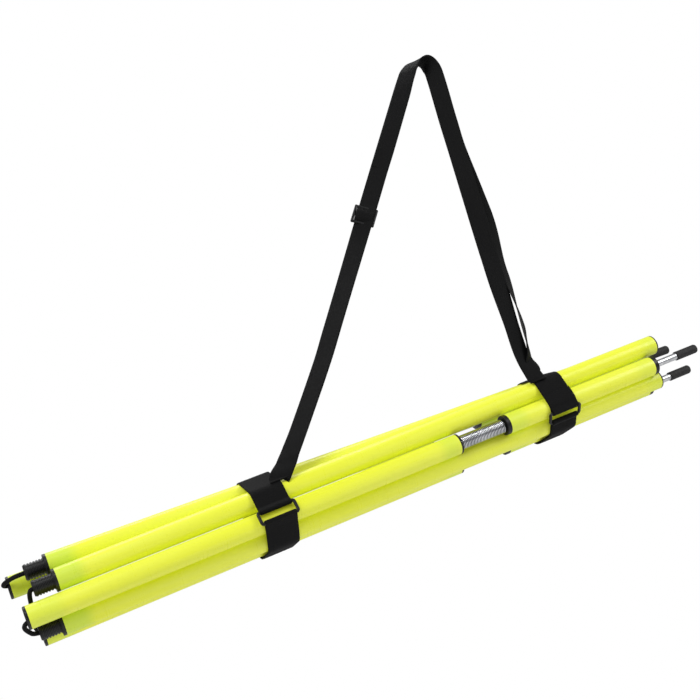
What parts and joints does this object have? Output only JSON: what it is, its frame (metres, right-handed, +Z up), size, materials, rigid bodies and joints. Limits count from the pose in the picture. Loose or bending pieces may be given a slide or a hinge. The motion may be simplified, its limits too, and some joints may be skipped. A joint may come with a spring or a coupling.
{
  "type": "folded weave pole bundle with carry harness",
  "caption": "Sprung weave poles with ground spikes, folded on elastic cords, held side by side in two hook-and-loop wraps with a shoulder strap.",
  "frame": {"origin": "under the middle of the bundle, on the surface it rests on", "axes": "+X along the poles towards the spikes, +Y to the back of the bundle, +Z up through the shoulder strap"},
  "size_m": [0.9235, 0.0918, 0.5566],
  "materials": {
    "tube_yellow": "fluorescent yellow-green, semi-gloss",
    "black_plastic": "black, satin moulded",
    "plug_plastic": "black, ribbed, satin",
    "spring_chrome": "bright zinc spring wire",
    "spike_steel": "turned and zinc plated",
    "cap_rubber": "black, matt",
    "cord_elastic": "black braided elastic",
    "webbing_black": "black woven webbing"
  },
  "bodies": {
    "harness": {"left_wrap": "webbing_black", "left_wrap_ring": "black_plastic", "left_strap_patch": "webbing_black", "right_wrap": "webbing_black", "right_wrap_ring": "black_plastic", "right_strap_patch": "webbing_black"},
    "pole_a": {"pole_a_collar": "black_plastic", "pole_a_long_tube": "tube_yellow", "pole_a_spring_top_ferrule": "black_plastic", "pole_a_spring": "spring_chrome", "pole_a_spring_foot_ferrule": "black_plastic", "pole_a_short_tube": "tube_yellow", "pole_a_spike_holder": "black_plastic", "pole_a_spike": "spike_steel", "pole_a_upper_tube": "tube_yellow", "pole_a_plug": "plug_plastic", "pole_a_upper_cap": "black_plastic", "pole_a_shock_cord": "cord_elastic", "pole_a_upper_cord_knot": "cord_elastic", "pole_a_lower_cord_knot": "cord_elastic"},
    "pole_a_cap": {"pole_a_spike_cap": "cap_rubber"},
    "pole_b": {"pole_b_collar": "black_plastic", "pole_b_long_tube": "tube_yellow", "pole_b_spring_top_ferrule": "black_plastic", "pole_b_spring": "spring_chrome", "pole_b_spring_foot_ferrule": "black_plastic", "pole_b_short_tube": "tube_yellow", "pole_b_spike_holder": "black_plastic", "pole_b_spike": "spike_steel", "pole_b_upper_tube": "tube_yellow", "pole_b_plug": "plug_plastic", "pole_b_upper_cap": "black_plastic", "pole_b_shock_cord": "cord_elastic", "pole_b_upper_cord_knot": "cord_elastic", "pole_b_lower_cord_knot": "cord_elastic"},
    "pole_b_cap": {"pole_b_spike_cap": "cap_rubber"},
    "pole_c": {"pole_c_collar": "black_plastic", "pole_c_long_tube": "tube_yellow", "pole_c_spring_top_ferrule": "black_plastic", "pole_c_spring": "spring_chrome", "pole_c_spring_foot_ferrule": "black_plastic", "pole_c_short_tube": "tube_yellow", "pole_c_spike_holder": "black_plastic", "pole_c_spike": "spike_steel", "pole_c_upper_tube": "tube_yellow", "pole_c_plug": "plug_plastic", "pole_c_upper_cap": "black_plastic", "pole_c_shock_cord": "cord_elastic", "pole_c_upper_cord_knot": "cord_elastic", "pole_c_lower_cord_knot": "cord_elastic"},
    "pole_c_cap": {"pole_c_spike_cap": "cap_rubber"},
    "strap": {"shoulder_strap": "webbing_black"},
    "slider": {"strap_slider": "black_plastic"}
  },
  "joints": [
    {"name": "pole_a_pull", "type": "slide", "parent": "harness", "child": "pole_a", "axis": [-1, 0, 0], "range_m": [0, 0.6]},
    {"name": "pole_b_pull", "type": "slide", "parent": "harness", "child": "pole_b", "axis": [-1, 0, 0], "range_m": [0, 0.6]},
    {"name": "pole_c_pull", "type": "slide", "parent": "harness", "child": "pole_c", "axis": [-0.9997, -0.0023, 0.0262], "range_m": [0, 0.6]},
    {"name": "pole_a_cap_pull", "type": "slide", "parent": "pole_a", "child": "pole_a_cap", "axis": [1, 0, 0], "range_m": [0, 0.05]},
    {"name": "pole_b_cap_pull", "type": "slide", "parent": "pole_b", "child": "pole_b_cap", "axis": [1, 0, 0], "range_m": [0, 0.05]},
    {"name": "pole_c_cap_pull", "type": "slide", "parent": "pole_c", "child": "pole_c_cap", "axis": [0.9997, 0.0023, -0.0262], "range_m": [0, 0.05]},
    {"name": "strap_swing", "type": "hinge", "parent": "harness", "child": "strap", "pos_m": [0.0243, -0.02805, 0.07493], "axis": [1, 0, 0], "range_deg": [-40, 80]},
    {"name": "slider_adjust", "type": "slide", "parent": "strap", "child": "slider", "axis": [0.6429, 0.0253, 0.7656], "range_m": [-0.15, 0.12]}
  ]
}
